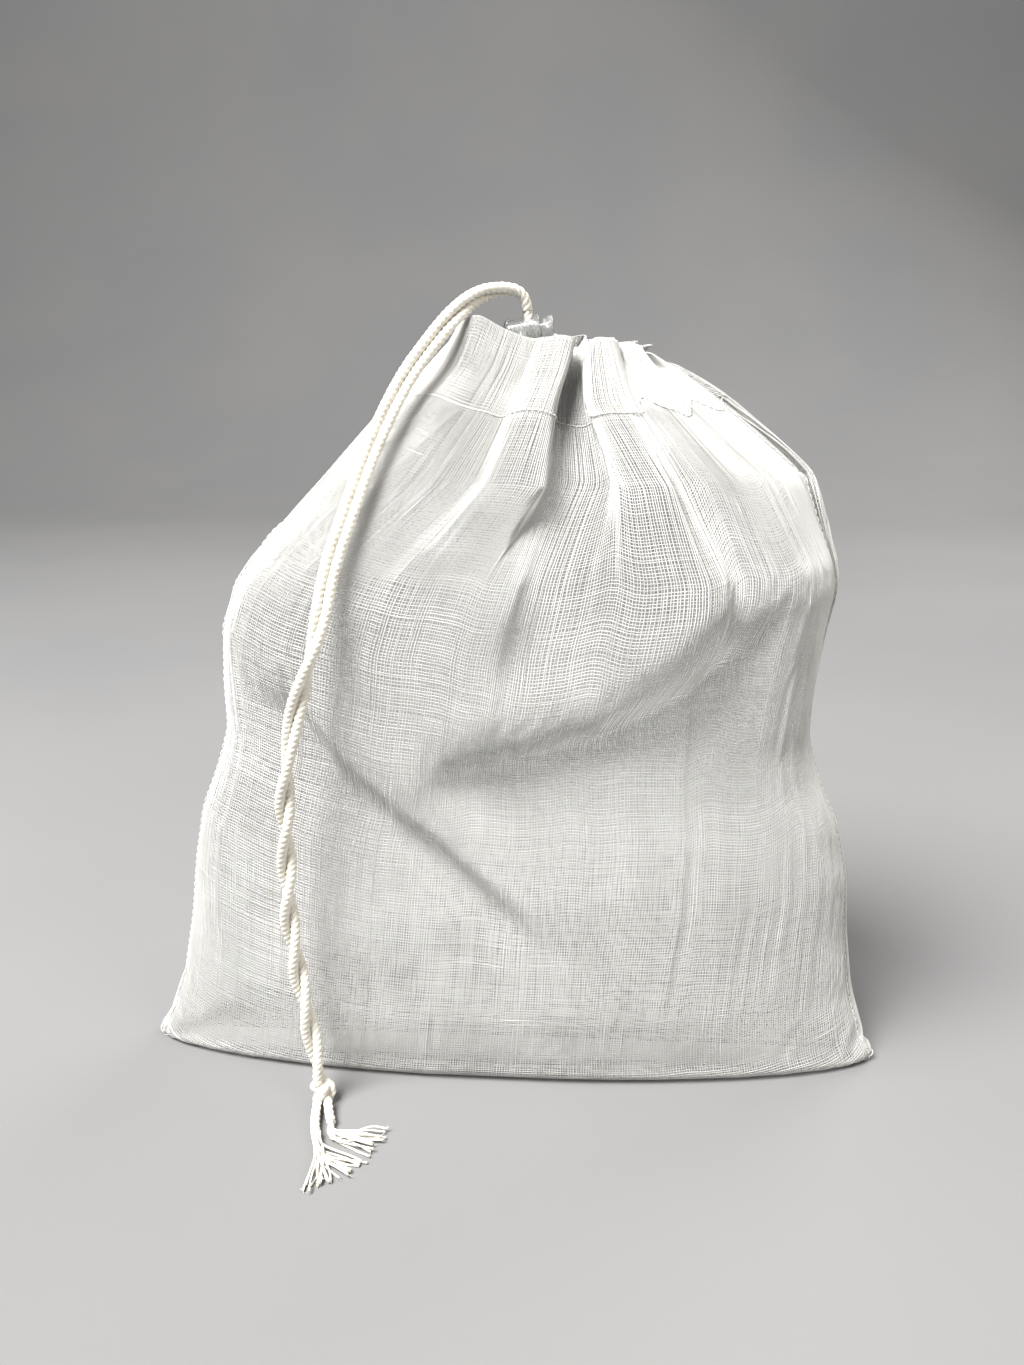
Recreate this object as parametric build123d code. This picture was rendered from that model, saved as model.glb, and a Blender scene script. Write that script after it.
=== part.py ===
"""A gauze drawstring bag that stands on its bottom seam with its mouth drawn shut.

Millimetres, +Z up, front towards -Y. The origin is under the middle of the bag, on the surface it stands
on. The cloth panels, their seams and the cord channel are plain solids of the right size and place.
"""
import math
import os

from build123d import *

# Cloth
WALL = 1.2  # drawn thickness of the gauze, which is 0.35 mm in truth
FLAT_WIDTH = 250.0  # bag laid flat, side seam to side seam
SEAM_Y = -10.0  # the bottom corners lie this far in front of the middle
MOUTH_HEIGHT = 222.5  # top of the gathered mouth
SEAM_WIDTH = 8.0  # folded seam allowance
SEAM_THICKNESS = 1.2
THREAD = 0.5
SEAM_TOP = 191.0  # the side seams run up to just below the channel
FIT = 0.15  # clearance between solids that lie against each other
WIDE, DEEP, TALL = 400.0, 300.0, 500.0  # cutting blocks, larger than the bag every way

# Gathered mouth and cord channel
MOUTH_X, MOUTH_Y = 21.0, 4.5
MOUTH_HOLE = (8.0, 4.9)  # half-widths of the hole that the gathers leave
CHANNEL_RING = (11.7, 7.2)  # half-widths of the loop of cord round the mouth
CHANNEL_RADIUS = 1.8
CORD_RADIUS = 1.5  # one cord
GATHER_RING = (15.5, 9.8)  # half-widths of the bunched channel
RING_BOTTOM = 206.0
CASING_BOTTOM = 196.0
CHANNEL_HEIGHT = 215.0

# Cord lock, in its own axes: X along the barrel, Z along the cord
LOCK_CENTRE = (5.2, 4.5, 230.5)
LOCK_TILT = 8.0
BARREL_RADIUS = 4.7
BARREL_BORE = 3.8
BARREL_LEFT, BARREL_RIGHT = -7.8, 3.0
BARREL_FLOOR = 1.2
PLUNGER_RADIUS = 3.6
PLUNGER_LEFT = -2.6
PRESS_TRAVEL = 2.5
CAP_RADIUS = 4.3
CAP_LENGTH = 1.5
CORD_SLOT = (3.4, 6.2)  # along the barrel, across it
SPRING_RADIUS = 2.7
SPRING_WIRE = 0.5
SPRING_TURNS = 4

# Free cord: two cords of 3 mm side by side
PAIR_RADIUS = 3.0
PAIR_FLAT = (2.8, 5.6)  # the pair squeezed through the lock: along the barrel, across it
STRAIGHT_TOP = 6.2  # the pair runs straight this far above the lock's middle
KNOT_CENTRE = (-56.2, -46.5, 4.4)
KNOT_RADIUS = 4.4

# Height, middle (x, y) and half-widths (x, y) of the stuffed bag, bottom to top
SECTIONS = [
    (0.0, 0.0, SEAM_Y, FLAT_WIDTH / 2, 21.0),
    (14.0, 0.0, -7.5, 119.0, 28.5),
    (45.0, 1.0, -3.0, 109.0, 39.0),
    (108.0, 1.0, 0.0, 94.0, 44.0),
    (150.0, 3.0, 0.0, 95.0, 45.0),
    (CASING_BOTTOM, 14.0, 3.0, 64.0, 32.0),
    (MOUTH_HEIGHT, 9.0, MOUTH_Y, 33.0, 15.0),
]
CASING_SECTION = SECTIONS[-2]

# Centre line of the free pair above the lock, down the front and to the knot
CORD_ROUTE = [
    (3.71, 4.5, 241.1),
    (1.3, 3.7, 244.3),
    (-3.2, 1.6, 245.6),
    (-8.9, -1.8, 244.0),
    (-14.6, -6.2, 238.4),
    (-21.8, -11.0, 228.8),
    (-30.0, -16.0, 217.0),
    (-37.4, -24.5, 200.5),
    (-42.6, -33.5, 184.0),
    (-47.8, -41.5, 167.5),
    (-50.4, -46.5, 151.0),
    (-56.0, -47.5, 134.5),
    (-60.6, -46.0, 118.0),
    (-63.0, -45.5, 100.0),
    (-63.8, -43.6, 81.5),
    (-64.4, -43.4, 63.0),
    (-62.8, -42.6, 45.0),
    (-60.2, -43.8, 28.0),
    (-58.0, -44.4, 14.0),
    (-57.0, -45.6, 6.8),
]


def elliptic_face(z, x, y, half_x, half_y):
    return Pos(x, y, z) * Face(Wire(Edge.make_ellipse(half_x, half_y)))


def bag_form(inset):
    """The whole stuffed bag, drawn in by inset on every side."""
    faces = []
    for z, x, y, half_x, half_y in SECTIONS:
        height = inset if z == 0 else z
        faces.append(elliptic_face(height, x, y, half_x - inset, half_y - inset))
    return Solid(loft(faces).wrapped)


def elliptic_column(half_widths, bottom, top):
    face = elliptic_face(bottom, MOUTH_X, MOUTH_Y, *half_widths)
    return extrude(face, amount=top - bottom, dir=(0, 0, 1))


def seam_angle():
    """Lean of the plane that holds both side seams, from the corners up to the mouth."""
    return math.degrees(math.atan2(MOUTH_Y - SEAM_Y, MOUTH_HEIGHT))


def seam_slab(thickness, offset=0.0):
    """A wide flat slab on the plane of the side seams, shifted off it by offset."""
    slab = Pos(0, offset, MOUTH_HEIGHT / 2) * Box(WIDE, thickness, TALL)
    return Pos(0, SEAM_Y, 0) * Rot(-seam_angle(), 0, 0) * slab


def front_half():
    return seam_slab(DEEP, -DEEP / 2)


def back_half():
    return seam_slab(DEEP, DEEP / 2)


def bag_hollow():
    """Space inside the panels: the stuffed form up to the channel, then a straight socket for it."""
    form = bag_form(WALL) & Pos(0, 0, CASING_BOTTOM / 2 + WALL / 2) * Box(WIDE, DEEP, CASING_BOTTOM - WALL)
    _, x, y, half_x, half_y = CASING_SECTION
    funnel = loft([
        elliptic_face(CASING_BOTTOM, x, y, half_x - WALL, half_y - WALL),
        elliptic_face(RING_BOTTOM, MOUTH_X, MOUTH_Y, *GATHER_RING),
    ])
    socket = elliptic_column(GATHER_RING, RING_BOTTOM, MOUTH_HEIGHT + 1)
    return form + funnel + socket


def casing_form():
    """The bunched inner layer of the channel: a funnel and a ring round the mouth hole."""
    _, x, y, half_x, half_y = CASING_SECTION
    outer_inset = WALL + FIT
    inner_inset = 2 * WALL + FIT
    ring = (GATHER_RING[0] - FIT, GATHER_RING[1] - FIT)
    low, high = CASING_BOTTOM - 2 * FIT, RING_BOTTOM - 2 * FIT
    outer = loft([
        elliptic_face(low, x, y, half_x - outer_inset, half_y - outer_inset),
        elliptic_face(high, MOUTH_X, MOUTH_Y, *ring),
    ]) + elliptic_column(ring, high, MOUTH_HEIGHT)
    inner = loft([
        elliptic_face(low, x, y, half_x - inner_inset, half_y - inner_inset),
        elliptic_face(high, MOUTH_X, MOUTH_Y, *MOUTH_HOLE),
    ]) + elliptic_column(MOUTH_HOLE, high, MOUTH_HEIGHT + 1)
    return outer - inner - cord_ring(CHANNEL_RADIUS)


def cord_ring(radius):
    """A tube of the given radius along the loop that the cord makes round the mouth."""
    path = Pos(MOUTH_X, MOUTH_Y, CHANNEL_HEIGHT) * Edge.make_ellipse(*CHANNEL_RING)
    start = Plane(origin=path @ 0, z_dir=path % 0)
    return sweep(start * Circle(radius), path=path)


def side_band(inset_near, inset_far, slab):
    """What lies in slab between two insets of the bag's form: a strip along its outline."""
    return (bag_form(inset_near) & slab) - bag_form(inset_far)


def side_box(side, bottom, top):
    """Everything on one side of the bag, -1 left and +1 right, between two heights."""
    middle, gap = 11.0, 40.0
    return Pos(middle + side * (WIDE + gap) / 2, 0, (bottom + top) / 2) * Box(WIDE, DEEP, top - bottom)


def side_seam(side):
    near = WALL + FIT
    strip = side_band(near, near + SEAM_WIDTH, seam_slab(SEAM_THICKNESS))
    return strip & side_box(side, near + SEAM_WIDTH + FIT, SEAM_TOP)


def bottom_seam():
    near = WALL + FIT
    height = near + SEAM_WIDTH
    return bag_form(near) & seam_slab(SEAM_THICKNESS) & Pos(0, 0, height / 2) * Box(WIDE, DEEP, height)


def seam_thread_slab():
    return seam_slab(THREAD, -(SEAM_THICKNESS + THREAD) / 2)


def side_stitching(side):
    near = WALL + FIT + SEAM_WIDTH / 2
    strip = side_band(near, near + THREAD, seam_thread_slab())
    return strip & side_box(side, SEAM_WIDTH + WALL + 2 * FIT, SEAM_TOP)


def bottom_stitching():
    height = WALL + FIT + SEAM_WIDTH / 2
    row = Pos(0, 0, height) * Box(WIDE, DEEP, THREAD)
    return bag_form(WALL + 3 * FIT) & seam_thread_slab() & row


def casing_stitching(half):
    """The row of thread just under the channel, on the inside of one panel."""
    row = Pos(0, 0, (SEAM_TOP + CASING_BOTTOM) / 2) * Box(WIDE, DEEP, THREAD)
    gap = seam_slab(2 * THREAD)
    return (side_band(WALL + FIT, WALL + FIT + THREAD, row) & half) - gap


def lock_place():
    return Location(LOCK_CENTRE, (0, -LOCK_TILT, 0))


def along_barrel(start, end, radius):
    """A cylinder on the barrel's axis."""
    return Pos((start + end) / 2, 0, 0) * Rot(0, 90, 0) * Cylinder(radius, end - start)


def slot_prism(start, end):
    """The cord's slot through the barrel, from start to end along it."""
    return Pos((start + end) / 2, 0, 0) * Box(end - start, CORD_SLOT[1], 4 * BARREL_RADIUS)


def lock_body():
    """A barrel closed by a dome at its left end, with a collar round the open end."""
    dome = 2.2
    collar = 1.8
    barrel = along_barrel(BARREL_LEFT, BARREL_RIGHT, BARREL_RADIUS)
    left_rim = barrel.edges().filter_by(GeomType.CIRCLE).sort_by(Axis.X)[0]
    barrel = fillet([left_rim], dome)
    ring = along_barrel(BARREL_RIGHT - collar, BARREL_RIGHT, BARREL_RADIUS + 0.3)
    barrel = barrel + fillet(ring.edges().filter_by(GeomType.CIRCLE), 0.25)
    bore = along_barrel(BARREL_LEFT + BARREL_FLOOR, BARREL_RIGHT + 1, BARREL_BORE)
    slot = slot_prism(-CORD_SLOT[0] / 2, CORD_SLOT[0] / 2)
    return barrel - bore - slot


def lock_button():
    """A plunger with a longer slot, so that the cord passes it over its whole travel, and a thumb cap."""
    neck_end = BARREL_RIGHT + PRESS_TRAVEL
    plunger = along_barrel(PLUNGER_LEFT, neck_end, PLUNGER_RADIUS)
    cap = along_barrel(neck_end, neck_end + CAP_LENGTH, CAP_RADIUS)
    cap = fillet(cap.edges().filter_by(GeomType.CIRCLE).sort_by(Axis.X)[-1:], 0.7)
    slot = slot_prism(-CORD_SLOT[0] / 2, CORD_SLOT[0] / 2 + PRESS_TRAVEL)
    return plunger + cap - slot


def lock_spring():
    start = BARREL_LEFT + BARREL_FLOOR + SPRING_WIRE
    length = PLUNGER_LEFT - SPRING_WIRE - start
    helix = Helix(pitch=length / SPRING_TURNS, height=length, radius=SPRING_RADIUS)
    coil = sweep(Plane(origin=helix @ 0, z_dir=helix % 0) * Circle(SPRING_WIRE / 2), path=helix)
    return Pos(start, 0, 0) * Rot(0, 90, 0) * coil


def pair_in_lock():
    """The two cords squeezed side by side, from the mouth up through the lock."""
    local_bottom = (MOUTH_HEIGHT - LOCK_CENTRE[2]) / math.cos(math.radians(LOCK_TILT)) - 2.0
    section = Pos(0, 0, local_bottom) * RectangleRounded(*PAIR_FLAT, PAIR_FLAT[0] / 2 - 0.01)
    bar = lock_place() * extrude(section, amount=STRAIGHT_TOP - local_bottom)
    return bar - Pos(0, 0, MOUTH_HEIGHT / 2) * Box(WIDE, DEEP, MOUTH_HEIGHT)


def arc_radii(points):
    """The largest fillets that leave a little straight in the middle of each run."""
    share = 0.45
    radii = []
    for before, here, after in zip(points, points[1:], points[2:]):
        run_in = Vector(here) - Vector(before)
        run_out = Vector(after) - Vector(here)
        turn = math.radians(run_in.get_angle(run_out))
        radii.append(share * min(run_in.length, run_out.length) / math.tan(turn / 2))
    return radii


def free_cord():
    """The pair as one plain tube, from just above the lock to the knot."""
    start = lock_place() * Pos(0, 0, STRAIGHT_TOP)
    points = [tuple(start.position)] + CORD_ROUTE
    radii = arc_radii(points)
    path = FilletPolyline(points, radius=radii)
    tube = sweep(Plane(origin=path @ 0, z_dir=path % 0) * Circle(PAIR_RADIUS), path=path)
    section = math.pi * PAIR_RADIUS**2
    print("cord length", round(path.length, 1), "volume / (section x length)",
          round(tube.volume / (section * path.length), 4))
    print("cord radii", [round(radius, 1) for radius in radii])
    return tube


def knot_blob():
    return Pos(KNOT_CENTRE) * scale(Sphere(KNOT_RADIUS), by=(1.05, 1.0, 0.9))


def knot():
    return knot_blob() - free_cord_end()


def free_cord_end():
    """A short straight piece of the pair's last run, which the knot closes on."""
    last, before = Vector(CORD_ROUTE[-1]), Vector(CORD_ROUTE[-2])
    along = (last - before).normalized()
    reach = 8.0
    return Solid.make_cylinder(PAIR_RADIUS, reach, Plane(origin=last - along * reach, z_dir=along))


def tail(length, heading, spread, side):
    """One unravelled end lying flat: a narrow root at the knot that opens into a fan."""
    root_width, thickness, lift = 3.4, 2.4, 0.3
    opens_at = 0.45 * length
    outline = Polyline(
        (0, root_width / 2), (opens_at, root_width / 2), (length, spread / 2),
        (length, -spread / 2), (opens_at, -root_width / 2), (0, -root_width / 2), close=True,
    )
    fan = extrude(make_face(outline), amount=thickness)
    root_x, root_y = KNOT_CENTRE[0] + side * 2.2, KNOT_CENTRE[1] - 3.2
    return Pos(root_x, root_y, lift) * Rot(0, 0, heading) * fan - knot_blob()


def build():
    form = bag_form(0.0)
    hollow = bag_hollow()
    cloth = form - hollow
    casing = casing_form()
    front, back = front_half(), back_half()
    place = lock_place()
    return {
        "front_panel": cloth & front,
        "back_panel": cloth & back,
        "front_casing": casing & front,
        "back_casing": casing & back,
        "left_side_seam": side_seam(-1),
        "right_side_seam": side_seam(1),
        "bottom_seam": bottom_seam(),
        "left_seam_stitching": side_stitching(-1),
        "right_seam_stitching": side_stitching(1),
        "bottom_seam_stitching": bottom_stitching(),
        "front_casing_stitching": casing_stitching(front),
        "back_casing_stitching": casing_stitching(back),
        "drawcord_loop": cord_ring(CORD_RADIUS),
        "drawcord_in_lock": pair_in_lock(),
        "drawcord": free_cord(),
        "drawcord_knot": knot(),
        "left_tail": tail(36.0, -84.0, 12.0, -1),
        "right_tail": tail(27.0, -48.0, 10.0, 1),
        "lock_body": place * lock_body(),
        "lock_button": place * lock_button(),
        "lock_spring": place * lock_spring(),
    }


os.makedirs("parts", exist_ok=True)
for name, shape in build().items():
    export_step(shape, f"parts/{name}.step")
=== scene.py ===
"""A gauze produce bag, stuffed and standing, its mouth drawn shut by a doubled cord with a clear lock.

The cloth is simulated as a grid of points and then woven: every warp and weft thread is a thin tube that
lies on it. Places are in millimetres in this script's tables and in metres in Blender.
"""
import math

import bpy
import numpy as np
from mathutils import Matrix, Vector


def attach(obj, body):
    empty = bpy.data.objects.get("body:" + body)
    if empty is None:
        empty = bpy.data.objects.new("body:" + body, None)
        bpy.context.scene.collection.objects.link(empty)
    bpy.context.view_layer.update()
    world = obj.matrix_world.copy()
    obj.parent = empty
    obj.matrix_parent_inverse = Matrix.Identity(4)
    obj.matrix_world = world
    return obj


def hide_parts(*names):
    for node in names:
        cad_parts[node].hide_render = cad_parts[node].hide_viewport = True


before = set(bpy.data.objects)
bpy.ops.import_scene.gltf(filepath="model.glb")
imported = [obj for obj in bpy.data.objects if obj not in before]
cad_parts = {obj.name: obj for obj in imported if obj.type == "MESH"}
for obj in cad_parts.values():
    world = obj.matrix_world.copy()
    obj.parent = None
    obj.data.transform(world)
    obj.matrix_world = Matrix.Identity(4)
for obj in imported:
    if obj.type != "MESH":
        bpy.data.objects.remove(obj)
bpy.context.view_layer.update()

MM = 0.001
rng = np.random.default_rng(7)

# ---------------------------------------------------------------- camera
CAMERA_DISTANCE = 337.5
CAMERA_HEIGHT = 221.0
CAMERA_AZIMUTH = math.radians(3.5)
CAMERA_PITCH = math.radians(16.0)
FOCAL_LENGTH = 29.1  # for a 36 mm high sensor

camera_data = bpy.data.cameras.new("camera")
camera_data.sensor_fit = "VERTICAL"
camera_data.sensor_height = 36.0
camera_data.lens = FOCAL_LENGTH
camera_data.clip_start = 0.01
camera = bpy.data.objects.new("camera", camera_data)
camera.location = (
    CAMERA_DISTANCE * math.sin(CAMERA_AZIMUTH) * MM,
    -CAMERA_DISTANCE * math.cos(CAMERA_AZIMUTH) * MM,
    CAMERA_HEIGHT * MM,
)
camera.rotation_euler = (math.pi / 2 - CAMERA_PITCH, 0, CAMERA_AZIMUTH)
bpy.context.scene.collection.objects.link(camera)
bpy.context.scene.camera = camera


# ---------------------------------------------------------------- materials
def new_material(name):
    material = bpy.data.materials.new(name)
    material.use_nodes = True
    nodes, links = material.node_tree.nodes, material.node_tree.links
    return material, nodes, links, nodes["Principled BSDF"]


def noise_node(nodes, links, scale, detail=3.0):
    coordinates = nodes.new("ShaderNodeTexCoord")
    noise = nodes.new("ShaderNodeTexNoise")
    noise.inputs["Scale"].default_value = scale
    noise.inputs["Detail"].default_value = detail
    links.new(coordinates.outputs["Object"], noise.inputs["Vector"])
    return noise


def ramp_between(nodes, links, factor, low, high):
    ramp = nodes.new("ShaderNodeValToRGB")
    ramp.color_ramp.elements[0].position = 0.35
    ramp.color_ramp.elements[0].color = (*low, 1)
    ramp.color_ramp.elements[1].position = 0.65
    ramp.color_ramp.elements[1].color = (*high, 1)
    links.new(factor, ramp.inputs["Fac"])
    return ramp


def cotton(name, low, high, patch_scale, fibre_scale, bump):
    """Matt cotton: a colour that wanders a little, and a fibrous bump."""
    material, nodes, links, shader = new_material(name)
    patches = noise_node(nodes, links, patch_scale)
    ramp = ramp_between(nodes, links, patches.outputs["Fac"], low, high)
    links.new(ramp.outputs["Color"], shader.inputs["Base Color"])
    fibres = noise_node(nodes, links, fibre_scale, detail=6.0)
    bump_node = nodes.new("ShaderNodeBump")
    bump_node.inputs["Strength"].default_value = bump
    bump_node.inputs["Distance"].default_value = 0.0003
    links.new(fibres.outputs["Fac"], bump_node.inputs["Height"])
    links.new(bump_node.outputs["Normal"], shader.inputs["Normal"])
    rough = nodes.new("ShaderNodeMapRange")
    rough.inputs["To Min"].default_value = 0.75
    rough.inputs["To Max"].default_value = 0.95
    links.new(fibres.outputs["Fac"], rough.inputs["Value"])
    links.new(rough.outputs["Result"], shader.inputs["Roughness"])
    shader.inputs["Sheen Weight"].default_value = 0.25
    shader.inputs["Sheen Roughness"].default_value = 0.5
    shader.inputs["Specular IOR Level"].default_value = 0.25
    return material


gauze_material = cotton("gauze", (0.560, 0.556, 0.540), (0.650, 0.646, 0.634), 60.0, 2500.0, 0.3)
sewing_material = cotton("sewing_thread", (0.68, 0.67, 0.64), (0.78, 0.77, 0.74), 300.0, 4000.0, 0.3)
cord_material = cotton("cotton_cord", (0.66, 0.63, 0.55), (0.78, 0.75, 0.68), 180.0, 3500.0, 0.6)
fray_material = cotton("frayed_cotton", (0.68, 0.65, 0.58), (0.8, 0.77, 0.71), 400.0, 5000.0, 0.3)


# ---------------------------------------------------------------- mesh helpers
def mesh_object(name, points, quads, triangles, material):
    """A mesh that rides on the bag, from arrays of points in millimetres, smooth quads and flat triangles."""
    mesh = bpy.data.meshes.new(name)
    loops = np.concatenate([quads.ravel(), triangles.ravel()]).astype(np.int32)
    totals = np.concatenate([np.full(len(quads), 4), np.full(len(triangles), 3)]).astype(np.int32)
    starts = np.concatenate([[0], np.cumsum(totals)[:-1]]).astype(np.int32)
    mesh.vertices.add(len(points))
    mesh.vertices.foreach_set("co", (points * MM).astype(np.float32).ravel())
    mesh.loops.add(len(loops))
    mesh.loops.foreach_set("vertex_index", loops)
    mesh.polygons.add(len(totals))
    mesh.polygons.foreach_set("loop_start", starts)
    mesh.polygons.foreach_set("loop_total", totals)
    mesh.polygons.foreach_set("use_smooth", totals == 4)
    mesh.update(calc_edges=True)
    mesh.validate()
    mesh.materials.append(material)
    obj = bpy.data.objects.new(name, mesh)
    bpy.context.scene.collection.objects.link(obj)
    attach(obj, "bag")
    return obj


def tube_arrays(lines, across, radius, sides):
    """Closed tubes round lines of shape (tubes, samples, 3), with across a direction off each line.

    A ring just inside each end keeps the flat end's shading off the rest of the tube."""
    def doubled_ends(array):
        first = array[:, :1] * 0.99 + array[:, 1:2] * 0.01
        last = array[:, -1:] * 0.99 + array[:, -2:-1] * 0.01
        return np.concatenate([array[:, :1], first, array[:, 1:-1], last, array[:, -1:]], 1)

    radius = np.broadcast_to(radius, lines.shape[:2])
    lines, across, radius = doubled_ends(lines), doubled_ends(across), doubled_ends(radius)
    count, samples = lines.shape[:2]
    along = np.gradient(lines, axis=1)
    along /= np.linalg.norm(along, axis=-1, keepdims=True) + 1e-12
    side = np.cross(along, across)
    side /= np.linalg.norm(side, axis=-1, keepdims=True) + 1e-12
    up = np.cross(side, along)
    turn = 2 * math.pi * np.arange(sides) / sides
    ring = (
        up[:, :, None] * np.cos(turn)[None, None, :, None]
        + side[:, :, None] * np.sin(turn)[None, None, :, None]
    )
    points = lines[:, :, None] + ring * radius[:, :, None, None]
    index = np.arange(count * samples * sides).reshape(count, samples, sides)
    near, far = index[:, :-1], index[:, 1:]
    quads = np.stack([near, np.roll(near, -1, 2), np.roll(far, -1, 2), far], -1).reshape(-1, 4)
    fans = []
    for cap, flip in ((index[:, 0], True), (index[:, -1], False)):
        for k in range(1, sides - 1):
            corners = [cap[:, 0], cap[:, k], cap[:, k + 1]]
            fans.append(np.stack(corners[::-1] if flip else corners, -1))
    return points.reshape(-1, 3), quads, np.concatenate(fans)


def joined(parts):
    """One set of arrays from several (points, quads, triangles)."""
    points, quads, triangles, base = [], [], [], 0
    for p, q, t in parts:
        points.append(p)
        quads.append(q + base)
        triangles.append(t + base)
        base += len(p)
    return np.concatenate(points), np.concatenate(quads), np.concatenate(triangles)


def smooth_step(x, low, high):
    t = np.clip((x - low) / (high - low), 0, 1)
    return t * t * (3 - 2 * t)


def catmull_rom(a, b, c, d, t):
    return 0.5 * (2 * b + (c - a) * t + (2 * a - 5 * b + 4 * c - d) * t**2 + (3 * b - a - 3 * c + d) * t**3)


def resampled(line, spacing):
    """The same polyline with even steps of about spacing."""
    steps = np.linalg.norm(np.diff(line, axis=0), axis=1)
    length = np.concatenate([[0], np.cumsum(steps)])
    places = np.linspace(0, length[-1], max(2, int(round(length[-1] / spacing)) + 1))
    return np.stack([np.interp(places, length, line[:, k]) for k in range(3)], 1)


def spline_line(points, spacing=1.0):
    """A smooth line through a short list of points."""
    p = np.array(points, float)
    p = np.concatenate([[2 * p[0] - p[1]], p, [2 * p[-1] - p[-2]]])
    t = np.linspace(0, 1, 20, endpoint=False)[:, None]
    runs = [catmull_rom(p[i], p[i + 1], p[i + 2], p[i + 3], t) for i in range(len(p) - 3)]
    return resampled(np.concatenate(runs + [p[-2:-1]]), spacing)


# ---------------------------------------------------------------- cord route
CORD_DIAMETER = 3.0
LOCK_CENTRE = np.array([5.2, 4.5, 230.5])
LOCK_UP = np.array([-math.sin(math.radians(8.0)), 0, math.cos(math.radians(8.0))])
LOCK_EXIT = LOCK_CENTRE + 6.2 * LOCK_UP
CORD_ROUTE = [
    tuple(LOCK_EXIT),
    (3.9, 4.2, 239.6),
    (1.6, 3.2, 242.2),
    (-3.0, 1.2, 242.6),
    (-9.4, -3.0, 240.8),
    (-15.8, -8.0, 235.6),
    (-22.6, -12.0, 227.2),
    (-30.0, -16.0, 217.0),
    (-37.4, -24.5, 200.5),
    (-42.6, -33.5, 184.0),
    (-47.8, -41.5, 167.5),
    (-50.4, -46.5, 151.0),
    (-56.0, -47.5, 134.5),
    (-60.6, -46.0, 118.0),
    (-63.0, -45.5, 100.0),
    (-63.8, -43.6, 81.5),
    (-64.4, -43.4, 63.0),
    (-62.8, -42.6, 45.0),
    (-60.2, -43.8, 28.0),
    (-58.0, -44.4, 14.0),
    (-57.0, -45.6, 6.8),
]


def nurbs_line(name, points):
    """Points along a NURBS curve with these control points, read from the curve itself."""
    curve = bpy.data.curves.new(name, "CURVE")
    curve.dimensions = "3D"
    curve.resolution_u = 24
    spline = curve.splines.new("NURBS")
    spline.points.add(len(points) - 1)
    for control, (x, y, z) in zip(spline.points, points):
        control.co = (x * MM, y * MM, z * MM, 1)
    spline.order_u = 3
    spline.use_endpoint_u = True
    obj = bpy.data.objects.new(name, curve)
    bpy.context.scene.collection.objects.link(obj)
    bpy.context.view_layer.update()
    mesh = bpy.data.meshes.new_from_object(obj)
    line = np.array([tuple(v.co) for v in mesh.vertices]) / MM
    bpy.data.meshes.remove(mesh)
    bpy.data.objects.remove(obj)
    bpy.data.curves.remove(curve)
    return resampled(line, 0.5)


cord_line = nurbs_line("cord_route", CORD_ROUTE)

# ---------------------------------------------------------------- cloth: sizes and start shape
FLAT_WIDTH = 250.0
FLAT_HEIGHT = 278.0
CASING_DEPTH = 28.0
AROUND = 192
DOWN = 106
AROUND_STEP, DOWN_STEP = 2 * FLAT_WIDTH / AROUND, FLAT_HEIGHT / DOWN

# The front's folds. Each row: millimetres of cloth from the left side seam, then the place x, y
# and, at the hem, z
FRONT_HEM = [
    (0, -16.5, 7.0, 230.0),
    (14, -15.5, -1.0, 232.3),
    (30, -9.5, -6.5, 235.0),
    (46, -2.0, -7.5, 231.4),
    (62, 5.5, -7.0, 228.8),
    (72, 10.0, -8.5, 228.9),
    (84, 15.0, -10.0, 229.4),
    (93, 18.6, -8.5, 228.4),
    (101, 16.5, -2.0, 227.3),
    (109, 15.5, 3.0, 226.3),
    (116, 18.3, 1.0, 226.2),
    (124, 20.0, -1.5, 226.4),
    (132, 20.8, 1.5, 226.5),
    (140, 19.8, 5.0, 226.5),
    (148, 21.5, -5.5, 227.2),
    (157, 24.5, -9.0, 228.8),
    (166, 28.0, -8.5, 228.6),
    (174, 30.5, -3.0, 228.0),
    (182, 30.0, 3.0, 227.4),
    (191, 33.5, -4.0, 227.6),
    (200, 36.5, -6.5, 226.8),
    (209, 37.5, -1.0, 226.0),
    (217, 36.0, 4.5, 225.4),
    (227, 40.3, -1.5, 224.6),
    (237, 42.2, 1.5, 223.0),
    (246, 40.5, 6.5, 222.3),
]
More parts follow.
